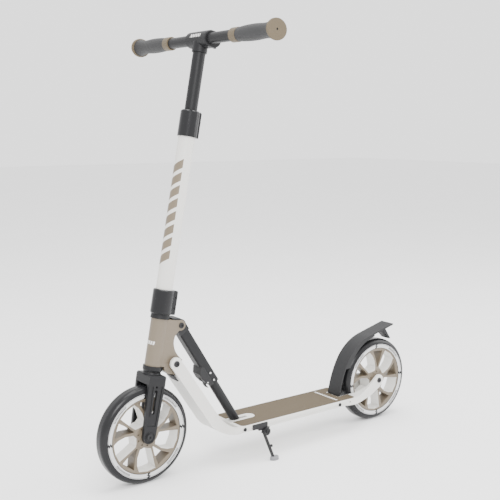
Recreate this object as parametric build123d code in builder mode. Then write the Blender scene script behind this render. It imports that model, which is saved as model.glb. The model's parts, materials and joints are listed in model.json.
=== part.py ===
"""Folding kick scooter with two large wheels, a telescopic stem and a sliding support strut.

Frame: millimetres, +X forward, +Y to the rider's left, +Z up, ground at Z = 0,
origin half way between the two wheel contact points.
"""
from build123d import *
import math
import os

os.makedirs("parts", exist_ok=True)

# ---------------------------------------------------------------- driving dimensions
wheel_diameter = 205.0        # over the tread
wheelbase = 666.0             # between the axles
wheel_width = 35.6            # over the tyre
tread_flat = 11.0             # flat band in the middle of the tread
rim_radius = 79.6             # rim edge, where the tyre starts
rim_width = 33.0
rim_window_radius = 75.6      # inside of the rim's outer ring
hub_radius = 25.0
bearing_radius = 11.0
bearing_width = 7.0
axle_radius = 4.0
head_lean = 10.68             # steering axis, degrees back from vertical

deck_top = 84.0               # deck plate above the ground
deck_thickness = 14.5
deck_width = 104.0
deck_wall = 2.4
tape_thickness = 0.8
tape_border = 3.0

neck_lean = 34.0              # neck arms, degrees from vertical
neck_width = 54.0             # over the two arms at the fold bolt
neck_depth = 25.5             # arm height, square to its run
arm_thickness = 6.0
web_thickness = 4.0
arm_head_radius = 13.5

tyre_gap = 4.5                # fork crown above the tread
crown_height = 19.5
fork_outer = 54.0             # over the two fork legs
leg_thickness = 6.8
headset_gap = 16.5            # fork crown to head tube
head_length = 98.7
head_radius = 18.0
fold_bolt_rise = 9.2          # fold bolt above the head tube's lower end
fold_bolt_setback = 39.8      # fold bolt behind the steering axis
lug_bolt_drop = 10.4          # strut bolt below the head tube's upper end
lug_bolt_setback = 44.6
lug_width = 32.0              # gusset thickness across the scooter
bolt_radius = 4.0

steerer_radius = 14.2
steerer_wall = 2.2
lower_stem_radius = 17.3
lower_stem_wall = 2.2
upper_stem_radius = 13.1
upper_stem_wall = 2.0
stem_clamp_height = 50.0
stem_visible = 315.0          # lower clamp to the height collar
collar_height = 54.0
bar_rise = 146.0              # collar top to the handlebar axis
bar_radius = 11.3
bar_half_length = 242.0
clamp_half_length = 36.0
clamp_radius = 16.5
grip_ring_start = 110.0       # from the middle of the bar
grip_ring_width = 20.0

strut_width = 26.0            # sleeve, across the scooter
strut_depth = 23.4
strut_wall = 2.2
strut_tube_radius = 10.4
strut_sleeve_length = 164.0   # lug bolt to the sleeve's lower end
strut_overlap = 44.0          # tube inside the sleeve when open
foot_setback = 60.7           # strut foot behind the neck's bend

fender_width = 40.0
fender_wall = 3.4
side_screw_radius = 2.4

running_gap = 0.05            # radial, shaft in its bore
part_gap = 0.3                # between pieces that move past each other

# ---------------------------------------------------------------- derived places
wheel_radius = wheel_diameter / 2
front_x = wheelbase / 2
rear_x = -wheelbase / 2
deck_bottom = deck_top - deck_thickness
deck_middle = (deck_top + deck_bottom) / 2
lean = math.radians(head_lean)
steer_up = Vector(-math.sin(lean), 0, math.cos(lean))
steer_forward = Vector(math.cos(lean), 0, math.sin(lean))
front_axle_point = Vector(front_x, 0, wheel_radius)
steer = Plane(origin=front_axle_point, x_dir=steer_forward, z_dir=steer_up)
steer_axis = Axis(front_axle_point, steer_up)
rearward = Axis(front_axle_point, -steer_forward)

crown_bottom = wheel_radius + tyre_gap
crown_top = crown_bottom + crown_height
head_bottom = crown_top + headset_gap
head_top = head_bottom + head_length
cap_top = head_top + 10.0
stem_clamp_top = cap_top + stem_clamp_height
collar_bottom = stem_clamp_top + stem_visible
collar_top = collar_bottom + collar_height
bar_height = collar_top + bar_rise


def on_steer(forward, along):
    """Point in the scooter's middle plane, given along and ahead of the steering axis."""
    return front_axle_point + steer_forward * forward + steer_up * along


fold_point = on_steer(-fold_bolt_setback, head_bottom + fold_bolt_rise)
lug_point = on_steer(-lug_bolt_setback, head_top - lug_bolt_drop)
neck_angle = math.radians(neck_lean)
bend_x = fold_point.X - (fold_point.Z - deck_middle) * math.tan(neck_angle)
deck_front = bend_x - 34.0
deck_rear = rear_x + 134.0
foot_point = Vector(bend_x - foot_setback, 0, deck_top - 7.5)
strut_vector = lug_point - foot_point
strut_up = strut_vector.normalized()
strut_forward = Vector(strut_up.Z, 0, -strut_up.X)
strut = Plane(origin=lug_point, x_dir=strut_forward, z_dir=strut_up)
strut_length = strut_vector.length


def side(y):
    """Sketch plane seen from the right: X forward, Y up, at y to the left."""
    return Plane(origin=(0, y, 0), x_dir=(1, 0, 0), z_dir=(0, -1, 0))


def tilted_side(plane, y):
    """Sketch plane along a tilted axis: local X is forward, local Y runs up the axis."""
    shift = plane.origin + Vector(0, y, 0)
    return Plane(origin=shift, x_dir=plane.x_dir, z_dir=(0, -1, 0))


def write(piece, label):
    piece.label = label
    export_step(piece, f"parts/{label}.step")


def tube_along(plane, start, end, outer, inner=0.0, edge=0.0):
    """Round tube or bar along a plane's normal."""
    with BuildPart() as tube:
        with BuildSketch(plane.offset(start)):
            Circle(outer)
            if inner:
                Circle(inner, mode=Mode.SUBTRACT)
        extrude(amount=end - start)
        if edge:
            chamfer(tube.edges().filter_by(GeomType.CIRCLE).sort_by(SortBy.RADIUS)[-2:], edge)
    return tube.part


def cross_bar(point, y_from, y_to, radius, bore=0.0):
    """Round bar across the scooter, through a point of the middle plane."""
    with BuildPart() as bar:
        with BuildSketch(side(y_to)):
            with Locations((point.X, point.Z)):
                Circle(radius)
                if bore:
                    Circle(bore, mode=Mode.SUBTRACT)
        extrude(amount=y_to - y_from)
    return bar.part


# ---------------------------------------------------------------- wheels
spoke_pairs = 5
window_outline = [
    (hub_radius - 0.5, 20.0),
    (31.0, 31.5),
    (50.0, 28.0),
    (64.0, 22.5),
    (rim_window_radius, 16.5),
    (rim_window_radius + 0.8, 1.5),
    (rim_window_radius, -13.5),
    (47.0, -15.8),
    (31.0, -17.5),
]
gap_outline = [
    (29.5, 44.5),
    (50.0, 34.5),
    (rim_window_radius - 1.6, 26.0),
    (rim_window_radius - 1.6, 51.5),
    (47.0, 51.0),
]


def polar(radius, degrees):
    return (radius * math.cos(math.radians(degrees)), radius * math.sin(math.radians(degrees)))


def wheel(axle_x, phase, prefix):
    """Tyre, spoked rim, two ball bearings and the spacer between them."""
    axle = Vector(axle_x, 0, wheel_radius)
    spin_axis = Axis(axle, (0, 1, 0))
    section = Plane(origin=axle, x_dir=(0, 1, 0), z_dir=(1, 0, 0))
    half = wheel_width / 2
    rim_half = rim_width / 2
    band_radius = rim_radius + 10.9

    with BuildPart() as tyre:
        with BuildSketch(section):
            with BuildLine():
                right_shoulder = ThreePointArc(
                    (half, band_radius),
                    (half * 0.78, wheel_radius - 3.4),
                    (tread_flat / 2, wheel_radius),
                )
                left_shoulder = ThreePointArc(
                    (-tread_flat / 2, wheel_radius),
                    (-half * 0.78, wheel_radius - 3.4),
                    (-half, band_radius),
                )
                Line(right_shoulder @ 1, left_shoulder @ 0)
                Line(left_shoulder @ 1, (-half + 0.8, rim_radius))
                Line((-half + 0.8, rim_radius), (half - 0.8, rim_radius))
                Line((half - 0.8, rim_radius), right_shoulder @ 0)
            make_face()
        revolve(axis=spin_axis)
    write(tyre.part, f"{prefix}_tyre")

    with BuildPart() as rim:
        with BuildSketch(side(rim_half)):
            with Locations((axle.X, axle.Z)):
                Circle(rim_radius)
                Circle(bearing_radius, mode=Mode.SUBTRACT)
        extrude(amount=rim_width)
        with BuildSketch(side(rim_half)):
            for pair in range(spoke_pairs):
                turn = phase + pair * 360 / spoke_pairs
                for outline in (window_outline, gap_outline):
                    with BuildLine():
                        corners = [polar(r, turn + a) for r, a in outline]
                        Polyline([(axle.X + x, axle.Z + z) for x, z in corners], close=True)
                    make_face()
        extrude(amount=rim_width, mode=Mode.SUBTRACT)
        windows = rim.edges().filter_by(Axis.Y).filter_by(lambda e: e.length > rim_width - 0.1)
        inside = windows.filter_by(lambda e: (e.center() - axle).length < rim_window_radius - 0.5)
        narrow = inside.filter_by(lambda e: abs((e.center() - axle).length - 29.5) < 0.4)
        fillet(narrow, 0.9)
        windows = rim.edges().filter_by(Axis.Y).filter_by(lambda e: e.length > rim_width - 0.1)
        inside = windows.filter_by(lambda e: (e.center() - axle).length < 27.0)
        fillet(inside, 2.5)
        with BuildSketch(side(rim_half)):
            with Locations((axle.X, axle.Z)):
                with PolarLocations(hub_radius - 4.5, 10, start_angle=phase):
                    Circle(1.7)
        extrude(amount=3.0, mode=Mode.SUBTRACT)
        for face_y in (rim_half, -rim_half):
            with BuildSketch(section):
                with BuildLine():
                    dish = 2.4 if face_y > 0 else -2.4
                    Polyline(
                        (face_y, hub_radius + 1.0),
                        (face_y - dish, hub_radius + 5.0),
                        (face_y - dish, rim_window_radius - 3.0),
                        (face_y, rim_window_radius + 1.5),
                        close=True,
                    )
                make_face()
            revolve(axis=spin_axis, mode=Mode.SUBTRACT)
        with BuildSketch(side(rim_half + 2.0)):
            with Locations((axle.X, axle.Z)):
                Circle(hub_radius - 9.5)
                Circle(bearing_radius, mode=Mode.SUBTRACT)
        extrude(amount=2.0)
        with BuildSketch(side(-rim_half)):
            with Locations((axle.X, axle.Z)):
                Circle(hub_radius - 9.5)
                Circle(bearing_radius, mode=Mode.SUBTRACT)
        extrude(amount=2.0)
    write(rim.part, f"{prefix}_rim")

    outer_face = rim_half + 1.5
    with BuildPart() as bearings:
        for y_from in (outer_face - bearing_width, -outer_face):
            with BuildSketch(side(y_from + bearing_width)):
                with Locations((axle.X, axle.Z)):
                    Circle(bearing_radius)
                    Circle(axle_radius + running_gap, mode=Mode.SUBTRACT)
            extrude(amount=bearing_width)
            with BuildSketch(side(y_from + bearing_width)):
                with Locations((axle.X, axle.Z)):
                    Circle(bearing_radius - 2.0)
                    Circle(axle_radius + 2.0, mode=Mode.SUBTRACT)
            extrude(amount=0.5, mode=Mode.SUBTRACT)
            with BuildSketch(side(y_from + 0.5)):
                with Locations((axle.X, axle.Z)):
                    Circle(bearing_radius - 2.0)
                    Circle(axle_radius + 2.0, mode=Mode.SUBTRACT)
            extrude(amount=0.5, mode=Mode.SUBTRACT)
    write(bearings.part, f"{prefix}_bearings")

    spacer_half = outer_face - bearing_width
    spacer = cross_bar(axle, -spacer_half, spacer_half, axle_radius + 2.5, axle_radius + running_gap)
    write(spacer, f"{prefix}_bearing_spacer")


wheel(front_x, 52.0, "front_wheel")
wheel(rear_x, 56.0, "rear_wheel")

# ---------------------------------------------------------------- deck
chamber_half = deck_width / 2 - deck_wall
rib_inner = 15.0
rib_outer = chamber_half - 14.0
slot_rear = foot_point.X - 27.0
slot_front = foot_point.X + 15.5
slot_plate_rear = foot_point.X - 47.0
slot_plate_front = foot_point.X + 19.0
slot_plate_half = 14.0
tang_thickness = 8.0
slot_width = tang_thickness + 2 * 0.8
side_screw_z = deck_middle
side_screw_rear = deck_rear + 24.0
side_screw_front = deck_front - 11.0
tongue_length = 26.0

with BuildPart() as deck:
    with BuildSketch(Plane(origin=(deck_rear, 0, 0), x_dir=(0, 1, 0), z_dir=(1, 0, 0))):
        with Locations((0, deck_middle)):
            RectangleRounded(deck_width, deck_thickness, 2.6)
        height = deck_thickness - 2 * deck_wall
        with Locations((0, deck_middle)):
            Rectangle(2 * rib_inner - deck_wall, height, mode=Mode.SUBTRACT)
        for sign in (-1, 1):
            middle_cell = (rib_inner + rib_outer) / 2
            with Locations((sign * middle_cell, deck_middle)):
                Rectangle(rib_outer - rib_inner - deck_wall, height, mode=Mode.SUBTRACT)
            side_cell = (rib_outer + deck_wall / 2 + chamber_half) / 2
            with Locations((sign * side_cell, deck_middle)):
                Rectangle(chamber_half - rib_outer - deck_wall / 2, height, mode=Mode.SUBTRACT)
    extrude(amount=deck_front - deck_rear)
    with BuildSketch(Plane.XY.offset(deck_top + 1)):
        with Locations(((slot_rear + slot_front) / 2, 0)):
            RectangleRounded(slot_front - slot_rear + 2.4, slot_width + 2.4, 3.0)
    extrude(amount=-deck_wall - 2, mode=Mode.SUBTRACT)
    for sign in (-1, 1):
        with BuildSketch(side(sign * deck_width / 2)):
            with Locations((side_screw_rear, side_screw_z), (side_screw_front, side_screw_z)):
                Circle(side_screw_radius)
        extrude(amount=sign * 6, mode=Mode.SUBTRACT)
        with BuildSketch(side(sign * deck_width / 2)):
            with Locations(((deck_rear + deck_front) / 2, deck_middle - 1.6)):
                Rectangle(deck_front - deck_rear + 2, 1.6)
        extrude(amount=sign * 0.7, mode=Mode.SUBTRACT)
write(deck.part, "deck")

fender_front = rear_x + 136.0
fender_slot_half = fender_width / 2 + 3.0
tape_front = slot_plate_front + 1.5
tape_rear = rear_x + 104.0
tape_half = deck_width / 2 - tape_border
with BuildPart() as grip_tape:
    with BuildSketch(Plane.XY.offset(deck_top)):
        with Locations(((tape_front + tape_rear) / 2, 0)):
            RectangleRounded(tape_front - tape_rear, 2 * tape_half, 9.0)
        with Locations(((slot_plate_rear + slot_plate_front + 40) / 2 - part_gap, 0)):
            plate_length = slot_plate_front + 40 - slot_plate_rear
            SlotOverall(plate_length, 2 * (slot_plate_half + part_gap), mode=Mode.SUBTRACT)
        with Locations((fender_front - 50, 0)):
            Rectangle(100, 2 * fender_slot_half, mode=Mode.SUBTRACT)
    extrude(amount=tape_thickness)
    front_corners = grip_tape.edges().filter_by(Axis.Z).sort_by(Axis.X)[-2:]
    fillet(front_corners, 1.0)
write(grip_tape.part, "grip_tape")

with BuildPart() as slot_plate:
    with BuildSketch(Plane.XY.offset(deck_top)):
        with Locations(((slot_plate_rear + slot_plate_front) / 2, 0)):
            SlotOverall(slot_plate_front - slot_plate_rear, 2 * slot_plate_half)
    extrude(amount=tape_thickness + 0.2)
    chamfer(slot_plate.faces().sort_by(Axis.Z)[-1].edges(), 0.4)
    with BuildSketch(Plane.XY.offset(deck_top)):
        with Locations(((slot_rear + slot_front) / 2, 0)):
            RectangleRounded(slot_front - slot_rear + 2.0, slot_width + 2.0, 2.8)
    extrude(amount=-deck_wall)
    with BuildSketch(Plane.XY.offset(deck_top + 5)):
        with Locations(((slot_rear + slot_front) / 2, 0)):
            RectangleRounded(slot_front - slot_rear, slot_width, 2.0)
    extrude(amount=-12, mode=Mode.SUBTRACT)
write(slot_plate.part, "slot_plate")

foot_pin_radius = 2.5
saddle_half = rib_inner - deck_wall / 2 - 0.2
with BuildPart() as foot_saddle:
    floor_z = deck_bottom + deck_wall
    saddle_height = deck_thickness - 2 * deck_wall
    with BuildSketch(Plane.XY.offset(floor_z)):
        with Locations((foot_point.X - 6, 0)):
            Rectangle(44, 2 * saddle_half)
    extrude(amount=saddle_height)
    with BuildSketch(Plane.XY.offset(floor_z + 0.8)):
        with Locations((foot_point.X - 6, 0)):
            Rectangle(60, slot_width + 0.4)
    extrude(amount=20, mode=Mode.SUBTRACT)
    with BuildSketch(side(deck_width)):
        with Locations((foot_point.X, foot_point.Z)):
            Circle(foot_pin_radius)
    extrude(amount=2 * deck_width, mode=Mode.SUBTRACT)
write(foot_saddle.part, "foot_saddle")
write(cross_bar(foot_point, -saddle_half, saddle_half, foot_pin_radius), "foot_pin")

# ---------------------------------------------------------------- neck
arm_along = Vector(-math.sin(neck_angle), 0, -math.cos(neck_angle))
arm_square = Vector(math.cos(neck_angle), 0, -math.sin(neck_angle))
neck_half = neck_width / 2
flare_front = bend_x + 24.0


def arm_line(square):
    """Start, beside the fold bolt, of a line that runs along the arm."""
    return fold_point + arm_square * square


def arm_corner(square, z):
    """Where the line beside the arm's centre line meets a height."""
    start = arm_line(square)
    run = (start.Z - z) / math.cos(neck_angle)
    corner = start + arm_along * run
    return (corner.X, corner.Z)


def flare(half, taper, reach):
    """Plan outline of the neck: narrow at the head, as wide as the deck at the back."""
    narrow = half - taper
    with BuildSketch() as plan:
        with BuildLine():
            left = Spline((deck_front, half), (flare_front, narrow), tangents=[(1, 0), (1, 0)])
            Polyline(left @ 1, (reach, narrow), (reach, -narrow), (flare_front, -narrow))
            right = Spline((flare_front, -narrow), (deck_front, -half), tangents=[(-1, 0), (-1, 0)])
            Line(right @ 1, left @ 0)
        make_face()
    return plan.sketch


neck_taper = deck_width / 2 - neck_half
neck_reach = fold_point.X + arm_head_radius + 5
channel_back = deck_front + 3.0


def beside_arm(along, square):
    """Point of the side view, along the arm from the fold bolt and square to it."""
    place = fold_point + arm_along * along + arm_square * square
    return (place.X, place.Z)


bumper_half = 13.0
bumper_outline = [
    beside_arm(22.6, 16.0),
    beside_arm(25.8, 10.2),
    beside_arm(27.6, 7.5),
    beside_arm(42.0, 7.5),
    beside_arm(42.0, neck_depth / 2 + 1.0),
    beside_arm(25.0, 16.6),
]
with BuildPart() as neck_channel:
    with BuildSketch(side(deck_width)):
        with BuildLine():
            inner = neck_depth / 2 - web_thickness
            floor = deck_bottom + web_thickness
            start = arm_line(inner) - arm_along * 60
            lower = FilletPolyline(
                (start.X, start.Z), arm_corner(inner, floor), (channel_back, floor), radius=56
            )
            Polyline(lower @ 1, (channel_back, start.Z), lower @ 0)
        make_face()
    extrude(amount=2 * deck_width)
    with BuildSketch(Plane.XY):
        add(flare(deck_width / 2 - arm_thickness, neck_taper, neck_reach + 100))
    extrude(amount=500, mode=Mode.INTERSECT)
    with BuildSketch(side(neck_half - arm_thickness)):
        with Locations((fold_point.X, fold_point.Z)):
            Circle(27.5)
    extrude(amount=neck_width - 2 * arm_thickness)

with BuildPart() as neck:
    with BuildSketch(side(deck_width)):
        with BuildLine():
            top_start = arm_line(-neck_depth / 2)
            low_start = arm_line(neck_depth / 2)
            upper = FilletPolyline(
                (top_start.X, top_start.Z),
                arm_corner(-neck_depth / 2, deck_top),
                (deck_front, deck_top),
                radius=42,
            )
            under = FilletPolyline(
                (low_start.X, low_start.Z),
                arm_corner(neck_depth / 2, deck_bottom),
                (deck_front, deck_bottom),
                radius=60,
            )
            Line(upper @ 1, under @ 1)
            Line(under @ 0, upper @ 0)
        make_face()
        with Locations((fold_point.X, fold_point.Z)):
            Circle(arm_head_radius)
    extrude(amount=2 * deck_width)
    with BuildSketch(Plane.XY):
        add(flare(deck_width / 2, neck_taper, neck_reach))
    extrude(amount=500, mode=Mode.INTERSECT)
    add(neck_channel.part, mode=Mode.SUBTRACT)
    for sign in (-1, 1):
        cell = (rib_outer + deck_wall / 2 + chamber_half) / 2
        width = chamber_half - rib_outer - deck_wall / 2 - 0.4
        with BuildSketch(Plane(origin=(deck_front, 0, 0), x_dir=(0, 1, 0), z_dir=(-1, 0, 0))):
            with Locations((sign * cell, -deck_middle)):
                Rectangle(width, deck_thickness - 2 * deck_wall - 0.4)
        extrude(amount=tongue_length)
    with BuildSketch(side(neck_half + 1)):
        with Locations((fold_point.X, fold_point.Z)):
            Circle(bolt_radius + running_gap)
    extrude(amount=neck_width + 2, mode=Mode.SUBTRACT)
    with BuildSketch(side(deck_width / 2 + 1)):
        with Locations((side_screw_front, side_screw_z)):
            Circle(side_screw_radius)
    extrude(amount=deck_width + 2, mode=Mode.SUBTRACT)
    with BuildSketch(side(bumper_half)):
        with BuildLine():
            Polyline(bumper_outline, close=True)
        make_face()
    extrude(amount=2 * bumper_half, mode=Mode.SUBTRACT)
write(neck.part, "neck")

with BuildPart() as neck_bumper:
    with BuildSketch(side(bumper_half)):
        with BuildLine():
            Polyline(bumper_outline, close=True)
        make_face()
    extrude(amount=2 * bumper_half)
write(neck_bumper.part, "neck_bumper")

# ---------------------------------------------------------------- rear castings and deck screws
casting_inner = 20.5
casting_outer = 26.5
hinge_x = rear_x + 124.0
hinge_z = deck_middle + 0.3
fender_pin_radius = 2.5
side_cell = (rib_outer + deck_wall / 2 + chamber_half) / 2
side_cell_width = chamber_half - rib_outer - deck_wall / 2


def rear_casting(sign, label):
    """Casting that carries one end of the rear axle and plugs into the deck's side chamber."""
    with BuildPart() as casting:
        with BuildSketch(side(deck_width)):
            with BuildLine():
                Polyline(
                    (deck_rear, deck_bottom),
                    (rear_x + 80, deck_bottom - 4.0),
                    (rear_x + 32, deck_bottom - 3.5),
                    (rear_x - 3, wheel_radius - 17.5),
                    (rear_x - 13, wheel_radius - 5.2),
                    (rear_x + 9.8, wheel_radius + 10.0),
                    (rear_x + 19.5, wheel_radius + 2.0),
                    (rear_x + 38, wheel_radius - 10.5),
                    (rear_x + 77.5, deck_top),
                    (deck_rear, deck_top),
                    close=True,
                )
            make_face()
            with Locations((rear_x, wheel_radius)):
                Circle(14.0)
        extrude(amount=2 * deck_width)
        with BuildSketch(Plane.XY):
            with BuildLine():
                half = deck_width / 2
                Polyline(
                    (deck_rear, sign * casting_inner),
                    (deck_rear, sign * half),
                    (deck_rear - 28, sign * half),
                    (rear_x + 40, sign * (casting_outer + 1)),
                    (rear_x + 26, sign * casting_outer),
                    (rear_x - 30, sign * casting_outer),
                    (rear_x - 30, sign * casting_inner),
                    close=True,
                )
            make_face()
        extrude(amount=300, mode=Mode.INTERSECT)
        with BuildSketch(Plane(origin=(deck_rear, 0, 0), x_dir=(0, 1, 0), z_dir=(1, 0, 0))):
            with Locations((sign * side_cell, deck_middle)):
                Rectangle(side_cell_width - 0.4, deck_thickness - 2 * deck_wall - 0.4)
        extrude(amount=tongue_length + 8)
        with BuildSketch(side(deck_width)):
            with Locations((rear_x, wheel_radius)):
                Circle(axle_radius)
            with Locations((hinge_x, hinge_z)):
                Circle(fender_pin_radius)
            with Locations((side_screw_rear, side_screw_z)):
                Circle(side_screw_radius)
        extrude(amount=2 * deck_width, mode=Mode.SUBTRACT)
    write(casting.part, label)


rear_casting(1, "rear_casting_left")
rear_casting(-1, "rear_casting_right")

with BuildPart() as deck_screws:
    for x, reach in ((side_screw_rear, 10.0), (side_screw_front, 5.5)):
        for sign in (-1, 1):
            with BuildSketch(side(sign * deck_width / 2)):
                with Locations((x, side_screw_z)):
                    Circle(side_screw_radius)
            extrude(amount=sign * reach)
            with BuildSketch(side(sign * deck_width / 2)):
                with Locations((x, side_screw_z)):
                    Circle(4.2)
            extrude(amount=-sign * 1.4)
            with BuildSketch(side(sign * (deck_width / 2 + 1.4))):
                with Locations((x, side_screw_z)):
                    RegularPolygon(1.8, 6)
            extrude(amount=sign * 1.0, mode=Mode.SUBTRACT)
write(deck_screws.part, "deck_screws")


def bolt(point, half_span, shank, head_radius, head_height, label, collar=None):
    """Cross bolt with a socket head on the left, a nut on the right and washers inside."""
    with BuildPart() as fastener:
        with BuildSketch(side(half_span + head_height)):
            with Locations((point.X, point.Z)):
                Circle(shank)
        extrude(amount=2 * (half_span + head_height))
        for sign in (-1, 1):
            with BuildSketch(side(sign * half_span)):
                with Locations((point.X, point.Z)):
                    Circle(head_radius)
            extrude(amount=-sign * head_height)
        chamfer(fastener.faces().sort_by(Axis.Y)[-1].edges(), head_height * 0.3)
        chamfer(fastener.faces().sort_by(Axis.Y)[0].edges(), head_height * 0.3)
        with BuildSketch(side(half_span + head_height)):
            with Locations((point.X, point.Z)):
                RegularPolygon(head_radius * 0.45, 6)
        extrude(amount=head_height * 0.7, mode=Mode.SUBTRACT)
        if collar:
            collar_radius_here, inner, outer = collar
            for sign in (-1, 1):
                with BuildSketch(side(sign * outer)):
                    with Locations((point.X, point.Z)):
                        Circle(collar_radius_here)
                extrude(amount=sign * (outer - inner))
    write(fastener.part, label)


spacer_face = rim_width / 2 + 1.5 + part_gap
rear_spacers = (6.4, spacer_face, casting_inner)
front_spacers = (6.4, spacer_face, fork_outer / 2 - leg_thickness)
rear_axle_place = Vector(rear_x, 0, wheel_radius)
bolt(rear_axle_place, casting_outer, axle_radius, 6.5, 2.6, "rear_axle", rear_spacers)
bolt(front_axle_point, fork_outer / 2, axle_radius, 6.5, 2.6, "front_axle", front_spacers)
bolt(fold_point, neck_width / 2, bolt_radius, 6.6, 2.4, "fold_bolt")
bolt(lug_point, lug_width / 2, bolt_radius, 6.0, 2.2, "strut_bolt")

# ---------------------------------------------------------------- head tube
cheek_radius = 11.0
hood_radius = 13.0
fold_s = head_bottom + fold_bolt_rise
lug_s = head_top - lug_bolt_drop
head_bore = steerer_radius + 1.4
arm_inner = neck_width / 2 - arm_thickness
strut_sketch = tilted_side(strut, deck_width)
steer_sketch = tilted_side(steer, deck_width)

with BuildPart() as head_tube:
    with BuildSketch(tilted_side(steer, lug_width / 2)):
        with BuildLine():
            Polyline(
                (0, head_bottom),
                (0, head_top),
                (-head_radius - 3, head_top),
                (-lug_bolt_setback, lug_s + cheek_radius),
            )
            cheek = ThreePointArc(
                (-lug_bolt_setback, lug_s + cheek_radius),
                (-lug_bolt_setback - cheek_radius, lug_s),
                (-lug_bolt_setback + 1.5, lug_s - cheek_radius + 0.1),
            )
            waist = Spline(
                cheek @ 1,
                (-fold_bolt_setback + 7.1, fold_s + 49.6),
                (-fold_bolt_setback + 6.2, fold_s + 38.5),
                (-fold_bolt_setback - 5.0, fold_s + 19.1),
                (-fold_bolt_setback - 19.3, fold_s + 8.1),
            )
            heel = ThreePointArc(
                waist @ 1,
                (-fold_bolt_setback - 19.5, fold_s - 8.0),
                (-fold_bolt_setback - 10.5, fold_s - 24.7),
            )
            Polyline(
                heel @ 1,
                (-fold_bolt_setback + 9.7, fold_s - 23.5),
                (-head_radius - 1, head_bottom - 7.8),
                (-head_radius, head_bottom),
                (0, head_bottom),
            )
        make_face()
    extrude(amount=lug_width)
    fillet(head_tube.faces().sort_by(Axis.Y)[-1].edges(), 1.2)
    fillet(head_tube.faces().sort_by(Axis.Y)[0].edges(), 1.2)
    with BuildSketch(steer.offset(head_bottom)):
        Circle(head_radius)
    extrude(amount=head_length)
    with BuildSketch(side(arm_inner - part_gap)):
        with Locations((fold_point.X, fold_point.Z)):
            Circle(10.0)
    extrude(amount=2 * (arm_inner - part_gap))
    with BuildSketch(steer.offset(head_bottom - 12)):
        Circle(head_bore)
    extrude(amount=head_length + 24, mode=Mode.SUBTRACT)
    with BuildSketch(steer.offset(head_bottom - 12)):
        Circle(head_radius + 3.6)
    extrude(amount=12, mode=Mode.SUBTRACT)
    with BuildSketch(side(strut_width / 2 + part_gap)):
        with Locations((lug_point.X, lug_point.Z)):
            Circle(hood_radius + part_gap)
    extrude(amount=strut_width + 2 * part_gap, mode=Mode.SUBTRACT)
    with BuildSketch(tilted_side(strut, strut_width / 2 + part_gap)):
        with Locations((0, -30)):
            Rectangle(2 * hood_radius + 2 * part_gap, 60)
    extrude(amount=strut_width + 2 * part_gap, mode=Mode.SUBTRACT)
    with BuildSketch(side(deck_width)):
        with Locations((fold_point.X, fold_point.Z)):
            Circle(bolt_radius + running_gap)
        with Locations((lug_point.X, lug_point.Z)):
            Circle(bolt_radius)
    extrude(amount=2 * deck_width, mode=Mode.SUBTRACT)
write(head_tube.part, "head_tube")

with BuildPart() as lug_cover:
    with BuildSketch(tilted_side(steer, lug_width / 2)):
        with BuildLine():
            Polyline(
                (-head_radius - 3.2, head_top + 0.4),
                (-head_radius - 3.2, head_top + 3.0),
                (-lug_bolt_setback + 5.0, head_top + 4.6),
                (-lug_bolt_setback + 3.4, lug_s + cheek_radius),
                close=True,
            )
        make_face()
    extrude(amount=lug_width)
    with BuildSketch(side(deck_width)):
        with Locations((lug_point.X, lug_point.Z)):
            Circle(hood_radius + part_gap)
    extrude(amount=2 * deck_width, mode=Mode.SUBTRACT)
write(lug_cover.part, "lug_cover")

cup_radius = head_radius + 2.5
bearing_outer = steerer_radius + 3.2
lower_cup_s = head_bottom - 11.5
upper_cup_s = head_top + 7.6
with BuildPart() as headset_cups:
    with BuildSketch(steer.offset(head_bottom - 7.5)):
        Circle(cup_radius)
    extrude(amount=7.5)
    with BuildSketch(steer.offset(head_bottom - 7.5)):
        Circle(cup_radius)
    extrude(amount=lower_cup_s - head_bottom + 7.5, taper=22)
    with BuildSketch(steer.offset(head_top)):
        Circle(cup_radius)
    extrude(amount=upper_cup_s - head_top, taper=8)
    for start, length in ((head_bottom, 9.0), (head_top - 9.0, 9.0)):
        with BuildSketch(steer.offset(start)):
            Circle(head_bore)
        extrude(amount=length)
    with BuildSketch(steer.offset(lower_cup_s - 1)):
        Circle(steerer_radius + 0.6)
    extrude(amount=upper_cup_s - lower_cup_s + 2, mode=Mode.SUBTRACT)
    for start, length in ((lower_cup_s - 1, 9.5), (upper_cup_s - 6.5, 7.5)):
        with BuildSketch(steer.offset(start)):
            Circle(bearing_outer)
        extrude(amount=length, mode=Mode.SUBTRACT)
write(headset_cups.part, "headset_cups")

with BuildPart() as headset_bearings:
    for start, length in ((lower_cup_s + 2.0, 6.5), (upper_cup_s - 6.5, 6.5)):
        with BuildSketch(steer.offset(start)):
            Circle(bearing_outer)
            Circle(steerer_radius + running_gap, mode=Mode.SUBTRACT)
        extrude(amount=length)
write(headset_bearings.part, "headset_bearings")

# ---------------------------------------------------------------- fork and steerer
steerer_top = stem_clamp_top - 8.0
leg_top_half = 19.5
leg_end_half = 14.5
slot_low = 47.0
slot_high = 97.0
steerer = tube_along(steer, crown_bottom + 3, steerer_top, steerer_radius, steerer_radius - steerer_wall)
write(steerer, "steerer")

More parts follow.
